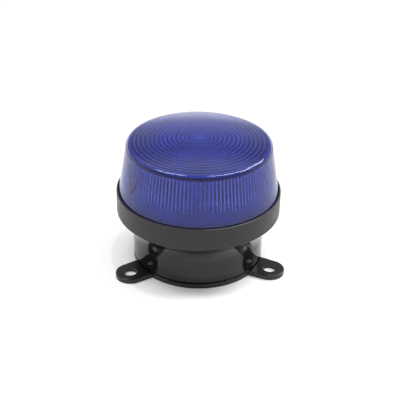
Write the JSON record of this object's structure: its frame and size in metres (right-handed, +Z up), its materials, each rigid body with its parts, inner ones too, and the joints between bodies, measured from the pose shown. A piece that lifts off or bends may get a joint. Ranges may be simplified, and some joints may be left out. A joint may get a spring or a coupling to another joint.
{
  "type": "mini strobe light",
  "caption": "Surface-mount strobe beacon: ribbed blue twist-lock lens on a black collar, narrower stem and thin base with drilled fixing ears.",
  "frame": {"origin": "centre of the circle of fixing holes, on the axis of the light at the underside of the base plate", "axes": "+Z up along the axis of the light, out of the lens; +Y towards one of the three ears"},
  "size_m": [0.0784, 0.0824, 0.0617],
  "materials": {
    "black_plastic": "satin to glossy black moulding",
    "black_rubber": "soft black rubber",
    "blue_lens": "clear deep blue moulded plastic",
    "screw_steel": "zinc plated steel",
    "board_green": "green solder mask",
    "white_plastic": "white moulded plastic",
    "tube_glass": "clear glass",
    "pin_metal": "bright tinned metal",
    "silicone": "milky silicone",
    "coil_lacquer": "lacquered copper wire",
    "can_sleeve": "dark shrink sleeve",
    "film_body": "dipped red coating",
    "ferrite": "dark grey ferrite",
    "bobbin_black": "black moulded bobbin",
    "winding_tape": "yellow polyester tape",
    "epoxy_black": "black moulded epoxy",
    "resistor_beige": "beige lacquer"
  },
  "bodies": {
    "base": {"housing": "black_plastic", "mounting_plate": "black_plastic", "lens_seal": "black_rubber", "plate_seal": "black_rubber", "lead_grommet": "black_rubber", "plate_screws": "screw_steel", "board_screws": "screw_steel", "circuit_board": "board_green", "reflector": "white_plastic", "xenon_tube": "tube_glass", "tube_electrodes": "pin_metal", "trigger_wire": "pin_metal", "lead_tags": "pin_metal", "tube_sleeves": "silicone", "trigger_coil": "coil_lacquer", "flash_capacitor": "can_sleeve", "input_capacitor": "can_sleeve", "film_capacitor": "film_body", "transformer_core": "ferrite", "transformer_bobbin": "bobbin_black", "transformer_winding": "winding_tape", "switching_transistor": "epoxy_black", "thyristor": "epoxy_black", "diodes": "epoxy_black", "resistors": "resistor_beige"},
    "lens_cap": {"lens": "blue_lens"}
  },
  "joints": [
    {"name": "lens_twist", "type": "hinge", "parent": "base", "child": "lens_cap", "pos_m": [0, 0, 0.0315], "axis": [0, 0, 1], "range_deg": [0, 34]}
  ]
}
